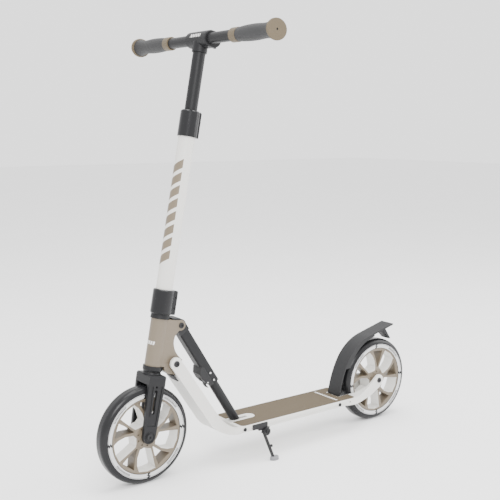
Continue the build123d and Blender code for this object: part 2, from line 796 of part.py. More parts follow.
with BuildPart() as fork:
    with BuildSketch(tilted_side(steer, fork_outer / 2)):
        with BuildLine():
            Polyline(
                (-leg_end_half, 0),
                (-leg_top_half, crown_bottom),
                (-leg_top_half, crown_top - 3),
                (-leg_top_half + 3, crown_top),
                (leg_top_half - 3, crown_top),
                (leg_top_half, crown_top - 3),
                (leg_top_half, crown_bottom),
                (leg_end_half, 0),
                close=True,
            )
        make_face()
        Circle(leg_end_half)
    extrude(amount=fork_outer)
    with BuildSketch(tilted_side(steer, fork_outer / 2 - leg_thickness)):
        with Locations((0, crown_bottom / 2 - 20)):
            Rectangle(60, crown_bottom + 40)
    extrude(amount=fork_outer - 2 * leg_thickness, mode=Mode.SUBTRACT)
    with BuildSketch(steer_sketch):
        with Locations((0, (slot_low + slot_high) / 2)):
            SlotOverall(slot_high - slot_low, 6.4, rotation=90)
        with Locations((0, slot_high + 6)):
            Circle(2.2)
        Circle(axle_radius)
    extrude(amount=2 * deck_width, mode=Mode.SUBTRACT)
    for sign in (-1, 1):
        with BuildSketch(tilted_side(steer, sign * fork_outer / 2)):
            with BuildLine():
                Polyline(
                    (-10.5, 22),
                    (-14.2, slot_high + 8),
                    (-7.6, slot_high + 8),
                    (-6.2, slot_low - 4),
                    (6.2, slot_low - 4),
                    (7.6, slot_high + 8),
                    (14.2, slot_high + 8),
                    (10.5, 22),
                    close=True,
                )
            make_face()
        extrude(amount=sign * 1.4, mode=Mode.SUBTRACT)
        with BuildSketch(tilted_side(steer, sign * fork_outer / 2)):
            Circle(11.6)
            Circle(9.0, mode=Mode.SUBTRACT)
        extrude(amount=sign * 1.0, mode=Mode.SUBTRACT)
    with BuildSketch(steer.offset(crown_bottom + 3)):
        Circle(steerer_radius)
    extrude(amount=crown_height, mode=Mode.SUBTRACT)
write(fork.part, "fork")

with BuildPart() as headset_races:
    with BuildSketch(steer.offset(crown_top)):
        Circle(cup_radius - 1.0)
    extrude(amount=4.0, taper=24)
    with BuildSketch(steer.offset(upper_cup_s + part_gap)):
        Circle(cup_radius - 0.8)
    extrude(amount=cap_top - upper_cup_s - part_gap)
    with BuildSketch(steer.offset(crown_top - 1)):
        Circle(steerer_radius)
    extrude(amount=cap_top - crown_top + 2, mode=Mode.SUBTRACT)
write(headset_races.part, "headset_races")

# ---------------------------------------------------------------- lower stem and its clamp
stem_bore = lower_stem_radius - lower_stem_wall
clamp_outer = lower_stem_radius + 5.0
ear_reach = 26.4
pinch_x = -21.2
pinch_levels = (cap_top + 14.0, stem_clamp_top - 14.0)
with BuildPart() as lower_clamp:
    with BuildSketch(steer.offset(cap_top)):
        Circle(clamp_outer)
        with Locations((-ear_reach / 2, 0)):
            Rectangle(ear_reach, 31)
    extrude(amount=stem_clamp_height)
    ears = lower_clamp.edges().filter_by(steer_axis).sort_by(rearward)
    fillet(ears[-2:], 3.0)
    chamfer(lower_clamp.faces().sort_by(steer_axis)[-1].edges(), 2.2)
    chamfer(lower_clamp.faces().sort_by(steer_axis)[0].edges(), 1.2)
    with BuildSketch(steer.offset(cap_top - 1)):
        Circle(lower_stem_radius)
        with Locations((-ear_reach, 0)):
            Rectangle(24, 2.4)
    extrude(amount=stem_clamp_height + 2, mode=Mode.SUBTRACT)
    with BuildSketch(steer_sketch):
        for level in pinch_levels:
            with Locations((pinch_x, level)):
                Circle(2.4)
    extrude(amount=2 * deck_width, mode=Mode.SUBTRACT)
    for sign in (-1, 1):
        with BuildSketch(tilted_side(steer, sign * 11.5)):
            for level in pinch_levels:
                with Locations((pinch_x, level)):
                    Circle(4.1)
        extrude(amount=-sign * 10, mode=Mode.SUBTRACT)
write(lower_clamp.part, "lower_clamp")

with BuildPart() as clamp_bolts:
    for level in pinch_levels:
        with BuildSketch(tilted_side(steer, 14.5)):
            with Locations((pinch_x, level)):
                Circle(2.4)
        extrude(amount=29)
        for sign in (-1, 1):
            with BuildSketch(tilted_side(steer, sign * 11.5)):
                with Locations((pinch_x, level)):
                    Circle(3.9)
            extrude(amount=-sign * 3.4)
        with BuildSketch(tilted_side(steer, 15.5)):
            with Locations((pinch_x, level)):
                RegularPolygon(1.9, 6)
        extrude(amount=3.0, mode=Mode.SUBTRACT)
write(clamp_bolts.part, "clamp_bolts")

stem_top = collar_bottom + 26.0
lower_stem = tube_along(steer, cap_top, stem_top, lower_stem_radius, stem_bore)
write(lower_stem, "lower_stem")

# ---------------------------------------------------------------- height collar and button
collar_radius = lower_stem_radius + 2.9
button_s = collar_bottom + 34.0
button_radius = 4.5
button_travel = 2.5
with BuildPart() as height_collar:
    with BuildSketch(steer.offset(collar_bottom)):
        Circle(collar_radius)
        with Locations((-collar_radius + 4, 0)):
            RectangleRounded(14, 20, 3)
    extrude(amount=collar_height)
    chamfer(height_collar.faces().sort_by(steer_axis)[-1].edges(), 2.6)
    with BuildSketch(steer.offset(collar_bottom - 1)):
        Circle(lower_stem_radius)
    extrude(amount=stem_top - collar_bottom + 1, mode=Mode.SUBTRACT)
    with BuildSketch(steer.offset(collar_bottom - 1)):
        Circle(upper_stem_radius + 2 * running_gap)
    extrude(amount=collar_height + 2, mode=Mode.SUBTRACT)
    with BuildSketch(Plane(origin=on_steer(0, button_s), x_dir=(0, 1, 0), z_dir=-steer_forward)):
        Circle(button_radius + part_gap)
    extrude(amount=60, mode=Mode.SUBTRACT)
    with BuildSketch(tilted_side(steer, 9.0)):
        with Locations((-collar_radius - 0.8, collar_bottom + 12)):
            Circle(1.9)
    extrude(amount=18, mode=Mode.SUBTRACT)
write(height_collar.part, "height_collar")

with BuildPart() as collar_screw:
    with BuildSketch(tilted_side(steer, 9.0)):
        with Locations((-collar_radius - 0.8, collar_bottom + 12)):
            Circle(1.9)
    extrude(amount=18)
write(collar_screw.part, "collar_screw")

button_inner = upper_stem_radius + part_gap + button_travel
button_outer = collar_radius + 3.0 + button_travel + 0.6
with BuildPart() as height_button:
    with BuildSketch(
        Plane(origin=on_steer(-button_inner, button_s), x_dir=(0, 1, 0), z_dir=-steer_forward)
    ):
        Circle(button_radius)
    extrude(amount=button_outer - button_inner)
    fillet(height_button.edges().sort_by(rearward)[-1], 1.2)
write(height_button.part, "height_button")

# ---------------------------------------------------------------- upper stem and handlebar
stem_end = collar_bottom - 57.0
bar_point = on_steer(0, bar_height)
upper_stem = tube_along(
    steer, stem_end, bar_height - bar_radius - 1.0, upper_stem_radius, upper_stem_radius - upper_stem_wall
)
write(upper_stem, "upper_stem")
bushing = tube_along(steer, stem_end - 6, stem_end + 30, stem_bore - running_gap, upper_stem_radius)
write(bushing, "stem_bushing")

clamp_screw_x = -17.2
clamp_screw_y = (-26.0, 26.0)
with BuildPart() as bar_clamp:
    with BuildSketch(tilted_side(steer, clamp_half_length)):
        with BuildLine():
            top = ThreePointArc(
                (0, bar_height + clamp_radius),
                (clamp_radius, bar_height),
                (0, bar_height - clamp_radius),
            )
            bottom = Spline(
                top @ 1,
                (-16, bar_height - 15.0),
                (-24, bar_height - 7.0),
                (-23.5, bar_height + 4.0),
                (-14, bar_height + 13.5),
                top @ 0,
                tangents=[(-1, 0), (1, 0)],
            )
        make_face()
    extrude(amount=2 * clamp_half_length)
    chamfer(bar_clamp.faces().sort_by(Axis.Y)[-1].edges(), 1.6)
    chamfer(bar_clamp.faces().sort_by(Axis.Y)[0].edges(), 1.6)
    with BuildSketch(steer.offset(bar_height - 27)):
        Circle(upper_stem_radius + 2.6)
    extrude(amount=22)
    with BuildSketch(side(deck_width)):
        with Locations((bar_point.X, bar_point.Z)):
            Circle(bar_radius)
    extrude(amount=2 * deck_width, mode=Mode.SUBTRACT)
    with BuildSketch(steer.offset(bar_height - 40)):
        Circle(upper_stem_radius)
    extrude(amount=40 - bar_radius - 1.0, mode=Mode.SUBTRACT)
    with BuildSketch(steer.offset(bar_height)):
        with Locations((-20, 0)):
            Rectangle(24, 2 * clamp_half_length + 2)
    extrude(amount=1.4, both=True, mode=Mode.SUBTRACT)
    with BuildSketch(steer.offset(bar_height - 30)):
        for y in clamp_screw_y:
            with Locations((clamp_screw_x, y)):
                Circle(2.2)
    extrude(amount=38, mode=Mode.SUBTRACT)
    with BuildSketch(steer.offset(bar_height - 30)):
        for y in clamp_screw_y:
            with Locations((clamp_screw_x, y)):
                Circle(4.4)
    extrude(amount=19, mode=Mode.SUBTRACT)
write(bar_clamp.part, "bar_clamp")

with BuildPart() as bar_clamp_screws:
    for y in clamp_screw_y:
        with BuildSketch(steer.offset(bar_height - 11)):
            with Locations((clamp_screw_x, y)):
                Circle(2.2)
        extrude(amount=19)
        with BuildSketch(steer.offset(bar_height - 11)):
            with Locations((clamp_screw_x, y)):
                Circle(4.0)
        extrude(amount=-5.0)
        with BuildSketch(steer.offset(bar_height - 16)):
            with Locations((clamp_screw_x, y)):
                RegularPolygon(2.0, 6)
        extrude(amount=3.0, mode=Mode.SUBTRACT)
write(bar_clamp_screws.part, "bar_clamp_screws")

handlebar = cross_bar(bar_point, -bar_half_length + 2, bar_half_length - 2, bar_radius, bar_radius - 2)
write(handlebar, "handlebar")

bar_section = Plane(origin=bar_point, x_dir=(0, 1, 0), z_dir=steer_forward)
ring_end = grip_ring_start + grip_ring_width
with BuildPart() as grip_rings:
    for sign in (-1, 1):
        with BuildSketch(bar_section):
            with BuildLine():
                Polyline(
                    (sign * grip_ring_start, bar_radius),
                    (sign * grip_ring_start, 13.4),
                    (sign * (grip_ring_start + 1.2), 14.4),
                    (sign * (ring_end - 1.2), 14.4),
                    (sign * ring_end, 13.6),
                    (sign * ring_end, bar_radius),
                    close=True,
                )
            make_face()
        revolve(axis=Axis(bar_point, (0, 1, 0)))
write(grip_rings.part, "grip_rings")


def grip(sign, label):
    """Soft handle sleeve, fat in the palm and flared where it meets the end disc."""
    length = bar_half_length - 2 - ring_end
    with BuildPart() as sleeve:
        with BuildSketch(bar_section):
            with BuildLine():
                profile = Spline(
                    (sign * ring_end, 13.3),
                    (sign * (ring_end + length * 0.28), 15.6),
                    (sign * (ring_end + length * 0.55), 15.6),
                    (sign * (ring_end + length * 0.8), 14.7),
                    (sign * (ring_end + length * 0.93), 16.6),
                    (sign * (ring_end + length), 18.4),
                )
                Polyline(
                    profile @ 1,
                    (sign * (ring_end + length), bar_radius),
                    (sign * ring_end, bar_radius),
                    profile @ 0,
                )
            make_face()
        revolve(axis=Axis(bar_point, (0, 1, 0)))
    write(sleeve.part, label)


grip(1, "grip_left")
grip(-1, "grip_right")

disc_thickness = 4.5
disc_plane = Plane(origin=bar_point, x_dir=(1, 0, 0), z_dir=(0, -1, 0))
with BuildPart() as bar_ends:
    for sign in (-1, 1):
        with BuildSketch(disc_plane.offset(-sign * (bar_half_length - 2))):
            Ellipse(23.6, 20.4)
        extrude(amount=-sign * disc_thickness)
        with BuildSketch(disc_plane.offset(-sign * (bar_half_length - 2))):
            Circle(bar_radius - 2)
        extrude(amount=sign * 8)
        with BuildSketch(disc_plane.offset(-sign * (bar_half_length - 12))):
            Circle(2.2)
        extrude(amount=-sign * 20, mode=Mode.SUBTRACT)
    rims = bar_ends.edges().filter_by(GeomType.ELLIPSE)
    fillet(rims, 1.4)
write(bar_ends.part, "bar_ends")

with BuildPart() as bar_end_screws:
    for sign in (-1, 1):
        with BuildSketch(disc_plane.offset(-sign * (bar_half_length - 8))):
            Circle(2.2)
        extrude(amount=-sign * (6 + disc_thickness - 0.6))
        with BuildSketch(disc_plane.offset(-sign * (bar_half_length + disc_thickness - 2.6))):
            RegularPolygon(1.2, 6)
        extrude(amount=sign * 1.6, mode=Mode.SUBTRACT)
write(bar_end_screws.part, "bar_end_screws")

# ---------------------------------------------------------------- folding strut
half_depth = strut_depth / 2
sleeve_top = -20.0
sleeve_end = -strut_sleeve_length
tube_bore = strut_tube_radius + part_gap
tube_top = sleeve_end + 40.0
foot_s = -strut_length
tube_cut_z = deck_top + tape_thickness + 2.2

with BuildPart() as strut_hood:
    with BuildSketch(tilted_side(strut, strut_width / 2)):
        Circle(hood_radius)
        with Locations((0, sleeve_top / 2)):
            Rectangle(2 * half_depth + 1.6, -sleeve_top)
    extrude(amount=strut_width)
    with BuildSketch(side(deck_width)):
        with Locations((lug_point.X, lug_point.Z)):
            Circle(bolt_radius + running_gap)
    extrude(amount=2 * deck_width, mode=Mode.SUBTRACT)
write(strut_hood.part, "strut_hood")

cheek_thickness = 1.2
housing_half = strut_width / 2 + cheek_thickness
housing_outline = [
    (half_depth - 7.0, -115.0),
    (half_depth, -109.0),
    (half_depth + 9.4, -122.0),
    (half_depth + 10.0, -136.0),
    (half_depth + 6.8, -150.5),
    (half_depth - 0.5, -163.0),
    (half_depth - 7.0, -163.0),
]
rivet_places = ((-0.5, sleeve_end + 8), (-1.5, sleeve_end + 27))
rivet_radius = 1.4
rivet_length = 1.8
with BuildPart() as strut_sleeve:
    with BuildSketch(strut.offset(sleeve_end)):
        RectangleRounded(strut_depth, strut_width, 4.5)
        Circle(tube_bore, mode=Mode.SUBTRACT)
    extrude(amount=sleeve_top - sleeve_end)
    with BuildSketch(tilted_side(strut, 4.3)):
        with Locations((half_depth, -137)):
            Rectangle(10, 12)
    extrude(amount=8.6, mode=Mode.SUBTRACT)
    for sign in (-1, 1):
        with BuildSketch(tilted_side(strut, sign * strut_width / 2)):
            with Locations(*rivet_places):
                Circle(rivet_radius)
        extrude(amount=sign * rivet_length, mode=Mode.SUBTRACT)
write(strut_sleeve.part, "strut_sleeve")

trigger_pivot = (half_depth + 3.6, -150.0)
with BuildPart() as latch_housing:
    with BuildSketch(tilted_side(strut, housing_half)):
        with BuildLine():
            Polyline(housing_outline, close=True)
        make_face()
    extrude(amount=2 * housing_half)
    fillet(latch_housing.faces().sort_by(Axis.Y)[-1].edges(), 0.8)
    fillet(latch_housing.faces().sort_by(Axis.Y)[0].edges(), 0.8)
    with BuildSketch(strut.offset(sleeve_end - 10)):
        seat = 2 * running_gap
        RectangleRounded(strut_depth + seat, strut_width + seat, 4.5 + running_gap)
    extrude(amount=80, mode=Mode.SUBTRACT)
    with BuildSketch(tilted_side(strut, 4.3)):
        with Locations((half_depth + 6, -152)):
            Rectangle(24, 34)
    extrude(amount=8.6, mode=Mode.SUBTRACT)
    with BuildSketch(strut_sketch):
        with Locations(trigger_pivot):
            Circle(1.6)
    extrude(amount=2 * deck_width, mode=Mode.SUBTRACT)
write(latch_housing.part, "latch_housing")

with BuildPart() as latch_trigger:
    with BuildSketch(tilted_side(strut, 4.0)):
        with BuildLine():
            px, py = trigger_pivot
            Polyline(
                (px - 2.6, py + 2.0),
                (px + 2.4, py + 2.2),
                (px + 4.6, py - 6.0),
                (px + 4.0, py - 14.0),
                (px + 1.4, py - 18.0),
                (px + 0.6, py - 16.0),
                (px + 1.6, py - 8.0),
                (px - 2.6, py - 2.4),
                close=True,
            )
        make_face()
        with Locations(trigger_pivot):
            Circle(3.2)
    extrude(amount=8.0)
    with BuildSketch(strut_sketch):
        with Locations(trigger_pivot):
            Circle(1.6 + running_gap)
    extrude(amount=2 * deck_width, mode=Mode.SUBTRACT)
write(latch_trigger.part, "latch_trigger")

with BuildPart() as latch_rivets:
    with BuildSketch(tilted_side(strut, housing_half + 0.4)):
        with Locations(trigger_pivot):
            Circle(1.6)
    extrude(amount=2 * housing_half + 0.8)
    for sign in (-1, 1):
        with BuildSketch(tilted_side(strut, sign * strut_width / 2)):
            with Locations(*rivet_places):
                Circle(2.2)
        extrude(amount=-sign * 0.9)
        with BuildSketch(tilted_side(strut, sign * strut_width / 2)):
            with Locations(*rivet_places):
                Circle(rivet_radius)
        extrude(amount=sign * rivet_length)
write(latch_rivets.part, "latch_rivets")

with BuildPart() as strut_tube:
    with BuildSketch(strut.offset(foot_s)):
        Circle(strut_tube_radius)
        Circle(strut_tube_radius - 2.0, mode=Mode.SUBTRACT)
    extrude(amount=tube_top - foot_s)
    with BuildSketch(Plane.XY.offset(tube_cut_z)):
        with Locations((foot_point.X, 0)):
            Rectangle(200, 100)
    extrude(amount=-60, mode=Mode.SUBTRACT)
write(strut_tube.part, "strut_tube")

with BuildPart() as strut_foot:
    with BuildSketch(strut.offset(foot_s + 17)):
        Circle(strut_tube_radius - 2.0)
    extrude(amount=16)
    with BuildSketch(tilted_side(strut, tang_thickness / 2)):
        with BuildLine():
            Polyline(
                (-6.5, foot_s + 24),
                (-6.5, foot_s - 1.0),
                (-3.6, foot_s - 3.9),
                (0.0, foot_s - 3.9),
                (0.0, foot_s + foot_pin_radius),
                (6.2, foot_s + foot_pin_radius + 5.0),
                (6.2, foot_s + 24),
                close=True,
            )
        make_face()
    extrude(amount=tang_thickness)
    with BuildSketch(side(deck_width)):
        with Locations((foot_point.X, foot_point.Z)):
            Circle(foot_pin_radius + part_gap)
    extrude(amount=2 * deck_width, mode=Mode.SUBTRACT)
    with BuildSketch(tilted_side(strut, deck_width)):
        with Locations((8, foot_s)):
            Rectangle(16, 2 * foot_pin_radius + 2 * part_gap)
    extrude(amount=2 * deck_width, mode=Mode.SUBTRACT)
write(strut_foot.part, "strut_foot")

# ---------------------------------------------------------------- rear fender brake
rear_axle_point = Vector(rear_x, 0, wheel_radius)
shell_radius = wheel_radius + 17.5
ramp_angle = 76.0
toe_angle = 28.6
brake_gap = 7.2
fender_half = fender_width / 2


def around_rear(radius, degrees):
    """Point of the side view at a radius and angle round the rear axle."""
    x, z = polar(radius, degrees)
    return (rear_x + x, wheel_radius + z)


with BuildPart() as fender:
    with BuildSketch(side(fender_half)):
        with BuildLine():
            inner_radius = shell_radius - fender_wall
            ramp_run = 84.0
            slope = math.radians(ramp_angle + 90)
            ramp_start = around_rear(shell_radius, ramp_angle)
            tail = (ramp_start[0] + ramp_run * math.cos(slope), ramp_start[1] + ramp_run * math.sin(slope))
            under_start = around_rear(inner_radius, ramp_angle)
            under_tail = (
                under_start[0] + ramp_run * math.cos(slope),
                under_start[1] + ramp_run * math.sin(slope),
            )
            Line(tail, ramp_start)
            hoop = ThreePointArc(
                ramp_start,
                around_rear(shell_radius, (ramp_angle + toe_angle) / 2),
                around_rear(shell_radius, toe_angle),
            )
            toe = TangentArc(hoop @ 1, (rear_x + 130.5, deck_top + 1.5), tangent=hoop % 1)
            Polyline(toe @ 1, (rear_x + 129.5, hinge_z), (rear_x + 124.0, hinge_z), (rear_x + 127.0, deck_top + 1.5))
            under_toe = around_rear(inner_radius, toe_angle)
            back_toe = TangentArc(
                under_toe, (rear_x + 127.0, deck_top + 1.5), tangent=hoop % 1
            )
            ThreePointArc(
                under_toe,
                around_rear(inner_radius, (ramp_angle + toe_angle) / 2),
                under_start,
            )
            Polyline(under_start, under_tail, tail)
        make_face()
    extrude(amount=fender_width)
    for sign in (-1, 1):
        with BuildSketch(side(sign * fender_half)):
            with BuildLine():
                rim_r = wheel_radius + 2.0
                low = 22.0
                high = 84.0
                outer_flange = ThreePointArc(
                    around_rear(shell_radius - 1, high),
                    around_rear(shell_radius - 1, (low + high) / 2),
                    around_rear(shell_radius - 1, low),
                )
                inner_flange = ThreePointArc(
                    around_rear(rim_r, low + 4),
                    around_rear(rim_r + 4, (low + high) / 2),
                    around_rear(rim_r + 9, high),
                )
                Line(outer_flange @ 1, inner_flange @ 0)
                Line(inner_flange @ 1, outer_flange @ 0)
            make_face()
        extrude(amount=sign * (fender_half - wheel_width / 2 - 0.5))
    with BuildSketch(side(13.0)):
        with BuildLine():
            Polyline(
                (tail[0] + 34, tail[1] - 11.5),
                (rear_x - 47, wheel_radius + 97.0),
                (rear_x - 51, wheel_radius + 98.5),
                (rear_x - 48, wheel_radius + 103.0),
                (tail[0] + 22, tail[1] - 8.6),
                close=True,
            )
        make_face()
    extrude(amount=26.0)
    with BuildSketch(side(fender_half - part_gap)):
        with Locations((hinge_x, hinge_z)):
            Circle(5.6)
    extrude(amount=2 * (fender_half - part_gap))
    with BuildSketch(side(9.0)):
        with Locations((hinge_x - 2, hinge_z)):
            Rectangle(16, 16)
    extrude(amount=18.0, mode=Mode.SUBTRACT)
    with BuildSketch(side(deck_width)):
        with Locations((hinge_x, hinge_z)):
            Circle(fender_pin_radius + running_gap)
    extrude(amount=2 * deck_width, mode=Mode.SUBTRACT)
write(fender.part, "fender")

with BuildPart() as brake_pad:
    with BuildSketch(side(12.0)):
        with BuildLine():
            pad_face = wheel_radius + brake_gap
            pad_low = 52.0
            outside = ThreePointArc(
                around_rear(inner_radius, ramp_angle),
                around_rear(inner_radius, (ramp_angle + pad_low) / 2),
                around_rear(inner_radius, pad_low),
            )
            inside = ThreePointArc(
                around_rear(pad_face, pad_low),
                around_rear(pad_face, (ramp_angle + pad_low) / 2),
                around_rear(pad_face, ramp_angle),
            )
            Line(outside @ 1, inside @ 0)
            Line(inside @ 1, outside @ 0)
        make_face()
    extrude(amount=24.0)
write(brake_pad.part, "brake_pad")

hinge_point = Vector(hinge_x, 0, hinge_z)
pin_half = casting_inner + 7.0
write(cross_bar(hinge_point, -pin_half, pin_half, fender_pin_radius), "fender_pin")

coil_radius = fender_pin_radius + 1.3
with BuildPart() as fender_spring:
    with BuildLine():
        coil = Helix(2.3, 13.8, coil_radius, center=(hinge_x, -6.9, hinge_z), direction=(0, 1, 0))
    with BuildSketch(Plane(origin=coil @ 0, z_dir=coil % 0)):
        Circle(0.8)
    sweep()
write(fender_spring.part, "fender_spring")

# ---------------------------------------------------------------- kickstand
stand_x = foot_point.X - 41.0
stand_z = 62.0
stand_y = deck_width / 2 + 1.0
stand_pivot = Vector(stand_x, 0, stand_z)
disc_radius = 8.8
with BuildPart() as kickstand_bracket:
    with BuildSketch(side(deck_width / 2 + 2.4)):
        with Locations((stand_x + 16, deck_middle)):
            RectangleRounded(41, 12.0, 1.5)
    extrude(amount=2.4)
    with BuildSketch(Plane.XY.offset(deck_bottom)):
        with Locations((stand_x + 4, deck_width / 2 - 8)):
            RectangleRounded(31, 20, 2.0)
    extrude(amount=-2.2)
    with BuildSketch(side(stand_y + 1.2)):
        with Locations((stand_x, stand_z)):
            Circle(disc_radius + 0.6)
        with Locations((stand_x, (stand_z + deck_bottom) / 2)):
            Rectangle(2 * disc_radius + 1.2, deck_bottom - stand_z)
    extrude(amount=stand_y + 1.2 - deck_width / 2)
    with BuildSketch(side(deck_width / 2 + 2.4)):
        with Locations((stand_x + 9, deck_bottom)):
            Rectangle(22, 6.0)
    extrude(amount=2.4)
    with BuildSketch(side(deck_width)):
        with Locations((stand_x, stand_z)):
            Circle(3.0)
    extrude(amount=deck_width, mode=Mode.SUBTRACT)
write(kickstand_bracket.part, "kickstand_bracket")

hub_inner = stand_y + 1.2 + part_gap
hub_outer = hub_inner + 5.0
with BuildPart() as kickstand_bolt:
    with BuildSketch(side(hub_outer + part_gap)):
        with Locations((stand_x, stand_z)):
            Circle(3.0)
    extrude(amount=hub_outer - hub_inner + 2 * part_gap + 6.0)
    with BuildSketch(side(hub_outer + part_gap + 2.0)):
        with Locations((stand_x, stand_z)):
            Circle(4.6)
    extrude(amount=2.0)
    with BuildSketch(side(hub_outer + part_gap + 2.0)):
        with Locations((stand_x, stand_z)):
            RegularPolygon(2.2, 6)
    extrude(amount=1.3, mode=Mode.SUBTRACT)
write(kickstand_bolt.part, "kickstand_bolt")

leg_top = Vector(stand_x + 11, hub_inner + 4.8, stand_z + 2.0)
leg_low = Vector(stand_x - 6, deck_width / 2 + 21.0, 5.0)
leg_run = leg_low - leg_top
leg_plane = Plane(origin=leg_top, z_dir=leg_run.normalized())
knob = leg_top + leg_run * 0.56
with BuildPart() as kickstand_leg:
    with BuildSketch(side(hub_outer)):
        with BuildLine():
            Polyline(
                (stand_x - 2, stand_z + 6.8),
                (leg_top.X + 2, leg_top.Z + 3.0),
                (leg_top.X + 3, leg_top.Z - 3.0),
                (stand_x + 2, stand_z - 6.8),
                close=True,
            )
        make_face()
        with Locations((stand_x, stand_z)):
            Circle(disc_radius)
    extrude(amount=hub_outer - hub_inner)
    with BuildSketch(leg_plane):
        Circle(3.6)
    extrude(amount=leg_run.length)
    with BuildSketch(Plane(origin=knob, x_dir=(0, 1, 0), z_dir=(-1, 0, 0))):
        Circle(3.2)
    extrude(amount=8.0)
    with BuildSketch(side(deck_width)):
        with Locations((stand_x, stand_z)):
            Circle(3.0 + running_gap)
    extrude(amount=deck_width, mode=Mode.SUBTRACT)
write(kickstand_leg.part, "kickstand_leg")

with BuildPart() as kickstand_foot:
    with BuildSketch(Plane(origin=(leg_low.X - 3, leg_low.Y, 0), z_dir=(0, 0, 1))):
        Ellipse(11.0, 7.5)
    extrude(amount=8.5)
    fillet(kickstand_foot.faces().sort_by(Axis.Z)[-1].edges(), 3.0)
    add(kickstand_leg.part, mode=Mode.SUBTRACT)
write(kickstand_foot.part, "kickstand_foot")
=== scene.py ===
import bpy
import bmesh
import json
import math
from mathutils import Matrix, Vector


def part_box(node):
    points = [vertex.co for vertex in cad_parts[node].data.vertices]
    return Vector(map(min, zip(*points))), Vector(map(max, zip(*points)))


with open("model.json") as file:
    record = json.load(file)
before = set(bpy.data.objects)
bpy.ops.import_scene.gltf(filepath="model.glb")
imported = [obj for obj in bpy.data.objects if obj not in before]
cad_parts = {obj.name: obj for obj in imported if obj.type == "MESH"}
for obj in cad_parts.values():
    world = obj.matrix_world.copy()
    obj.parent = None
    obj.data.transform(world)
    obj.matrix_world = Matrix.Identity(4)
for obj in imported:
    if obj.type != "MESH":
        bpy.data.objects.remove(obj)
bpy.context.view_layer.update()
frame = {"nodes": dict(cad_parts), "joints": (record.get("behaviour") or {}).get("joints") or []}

# --- Steering line
# The fork, both stems and the handlebar are stacked on one leaning axis, so places on
# them are given as a height along it and a reach ahead of it.
joints = {joint["name"]: joint for joint in frame["joints"]}
steer_foot = Vector(joints["steering"]["pos_m"])
steer_up = Vector(joints["steering"]["axis"]).normalized()
steer_ahead = Vector((steer_up.z, 0, -steer_up.x))

# --- White coated metal
# Deck, neck and rear castings are aluminium with a white satin powder coat. The coat has a
# fine orange-peel skin, drifts a little in shade, and is rubbed thin along sharp edges.
class Level:
    """A number that changes over a surface: sums, products and comparisons become nodes."""

    def __init__(self, finish, socket):
        self.finish = finish
        self.socket = socket

    def run(self, operation, *values):
        sockets = dict(enumerate(values))
        made = self.finish.node("ShaderNodeMath", {"operation": operation}, sockets)
        return Level(self.finish, made.outputs[0])

    def __add__(self, other):
        return self.run("ADD", self, other)

    def __radd__(self, other):
        return self.run("ADD", other, self)

    def __sub__(self, other):
        return self.run("SUBTRACT", self, other)

    def __rsub__(self, other):
        return self.run("SUBTRACT", other, self)

    def __mul__(self, other):
        return self.run("MULTIPLY", self, other)

    def __rmul__(self, other):
        return self.run("MULTIPLY", other, self)

    def __truediv__(self, other):
        return self.run("DIVIDE", self, other)

    def __gt__(self, other):
        return self.run("GREATER_THAN", self, other)

    def __lt__(self, other):
        return self.run("LESS_THAN", self, other)

    def __abs__(self):
        return self.run("ABSOLUTE", self)

    def within(self, low, high):
        return (self > low) * (self < high)


class Finish:
    """One material and the nodes that make it."""

    def __init__(self, name, metallic=0.0, coat=0.0, specular=0.5):
        self.material = bpy.data.materials.new(name)
        self.material.use_nodes = True
        self.tree = self.material.node_tree
        self.surface = self.tree.nodes["Principled BSDF"]
        self.surface.inputs["Metallic"].default_value = metallic
        self.surface.inputs["Coat Weight"].default_value = coat
        self.surface.inputs["Coat Roughness"].default_value = 0.12
        self.surface.inputs["Specular IOR Level"].default_value = specular
        self.coords = self.node("ShaderNodeTexCoord", {}, {})
        split = self.node("ShaderNodeSeparateXYZ", {}, {0: self.coords.outputs["Object"]})
        self.x, self.y, self.z = (Level(self, socket) for socket in split.outputs)

    def node(self, kind, settings, sockets):
        made = self.tree.nodes.new(kind)
        for name, value in settings.items():
            setattr(made, name, value)
        for name, value in sockets.items():
            self.feed(made.inputs[name], value)
        return made

    def feed(self, target, value):
        """Link a level or socket to the target, or set a plain value on it."""
        if isinstance(value, Level):
            value = value.socket
        if isinstance(value, bpy.types.NodeSocket):
            self.tree.links.new(value, target)
        else:
            target.default_value = value

    def noise(self, scale, detail=2.0, stretch=None):
        where = self.coords.outputs["Object"]
        if stretch:
            sockets = {"Vector": where, "Scale": stretch}
            where = self.node("ShaderNodeMapping", {}, sockets).outputs[0]
        sockets = {"Vector": where, "Scale": scale, "Detail": detail}
        made = self.node("ShaderNodeTexNoise", {}, sockets)
        return Level(self, made.outputs["Fac"])

    def mix(self, amount, first, second):
        sockets = {0: amount, 6: first, 7: second}
        return self.node("ShaderNodeMix", {"data_type": "RGBA"}, sockets).outputs[2]

    def edges(self, width):
        """Rounded normal of sharp edges, and how much it turns away from the face."""
        rounded = self.node("ShaderNodeBevel", {"samples": 4}, {"Radius": width}).outputs[0]
        flat = self.node("ShaderNodeNewGeometry", {}, {}).outputs["Normal"]
        sockets = {0: rounded, 1: flat}
        turn = self.node("ShaderNodeVectorMath", {"operation": "DOT_PRODUCT"}, sockets)
        return rounded, 1 - Level(self, turn.outputs["Value"])

    def skin(self, colour, roughness, height, depth, normal=None):
        sockets = {"Height": height, "Distance": depth, "Strength": 1.0}
        if normal is not None:
            sockets["Normal"] = normal
        bump = self.node("ShaderNodeBump", {}, sockets)
        self.feed(self.surface.inputs["Base Color"], colour)
        self.feed(self.surface.inputs["Roughness"], roughness)
        self.feed(self.surface.inputs["Normal"], bump.outputs[0])
        return self.material


def shade(colour, factor):
    return tuple(min(1.0, part * factor) for part in colour) + (1.0,)


